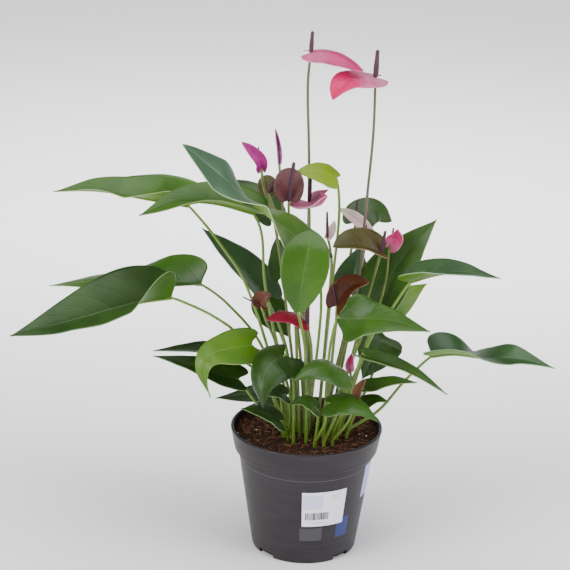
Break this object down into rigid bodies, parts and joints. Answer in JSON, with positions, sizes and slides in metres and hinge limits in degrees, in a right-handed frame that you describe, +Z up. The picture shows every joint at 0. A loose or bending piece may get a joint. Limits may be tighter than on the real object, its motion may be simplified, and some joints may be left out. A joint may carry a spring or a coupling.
{
  "type": "potted anthurium",
  "caption": "Young anthurium in a round plastic nursery pot, with arrow-shaped glossy leaves and small pink, coral and brown blooms on slim upright stems.",
  "frame": {"origin": "centre of the pot's underside, on the plane it rests on", "axes": "+Z up along the pot, +X to the right and +Y to the back, seen from the front side that bears the label"},
  "size_m": [0.4754, 0.177, 0.4796],
  "materials": {
    "label_paper": "white coated paper",
    "leaf_green": "glossy dark green leaf, paler below and along its edge",
    "leaf_lime": "young yellow-green leaf, waxy",
    "pot_plastic": "smooth anthracite polypropylene, soft sheen",
    "soil": "dark potting soil, loose and matt",
    "spadix": "dark purple spike with fine bumps",
    "spathe_coral": "waxy flower sheath, coral pink",
    "spathe_crimson": "waxy flower sheath, dark crimson",
    "spathe_dry": "waxy flower sheath, withered brown",
    "spathe_green": "waxy flower sheath, green",
    "spathe_magenta": "waxy flower sheath, magenta",
    "spathe_maroon": "waxy flower sheath, maroon brown",
    "spathe_olive": "waxy flower sheath, olive brown",
    "spathe_pale": "waxy flower sheath, pale pink",
    "spathe_pink": "waxy flower sheath, pink",
    "spathe_rose": "waxy flower sheath, rose",
    "spathe_rust": "waxy flower sheath, rust brown",
    "stem_green": "slim green to brown stem, waxy"
  },
  "bodies": {
    "root": {"bloom_bud_low": "spathe_rose", "bloom_bud_upright": "spathe_magenta", "bloom_crimson": "spathe_crimson", "bloom_magenta_right": "spathe_rose", "bloom_magenta_spadix": "spadix", "bloom_magenta_spathe": "spathe_magenta", "bloom_magenta_stem": "stem_green", "bloom_maroon": "spathe_maroon", "bloom_middle_spadix": "spadix", "bloom_middle_spathe": "spathe_rose", "bloom_middle_stem": "stem_green", "bloom_olive_back": "spathe_green", "bloom_olive_spadix": "spadix", "bloom_olive_spathe": "spathe_olive", "bloom_olive_stem": "stem_green", "bloom_pale": "spathe_pale", "bloom_round_brown": "spathe_olive", "bloom_rust_spadix": "spadix", "bloom_rust_spathe": "spathe_rust", "bloom_rust_stem": "stem_green", "bloom_small_brown": "spathe_rust", "bloom_tall_left_spadix": "spadix", "bloom_tall_left_spathe": "spathe_pink", "bloom_tall_left_stem": "stem_green", "bloom_tall_right_spadix": "spadix", "bloom_tall_right_spathe": "spathe_coral", "bloom_tall_right_stem": "stem_green", "bloom_thin_purple": "spathe_pale", "bloom_withered": "spathe_dry", "label": "label_paper", "leaf_back_left": "leaf_green", "leaf_back_right_high": "leaf_green", "leaf_back_right_low": "leaf_green", "leaf_back_upright": "leaf_green", "leaf_behind_front": "leaf_green", "leaf_far_right": "leaf_green", "leaf_front_centre": "leaf_green", "leaf_front_left": "leaf_green", "leaf_front_upright": "leaf_green", "leaf_inner_left": "leaf_green", "leaf_left_dark": "leaf_green", "leaf_left_drooping": "leaf_green", "leaf_left_far": "leaf_green", "leaf_left_inner": "leaf_green", "leaf_left_low": "leaf_green", "leaf_left_near": "leaf_green", "leaf_lime_young": "leaf_lime", "leaf_low_front": "leaf_green", "leaf_low_right": "leaf_green", "leaf_lower_right": "leaf_green", "leaf_on_rim_left": "leaf_green", "leaf_right_high": "leaf_green", "leaf_right_middle": "leaf_green", "leaf_small_left": "leaf_green", "leaf_top": "leaf_green", "leaf_upper_left_far": "leaf_green", "leaf_upper_left_near": "leaf_green", "leaf_upper_right": "leaf_green", "pot": "pot_plastic", "soil": "soil"}
  },
  "joints": []
}
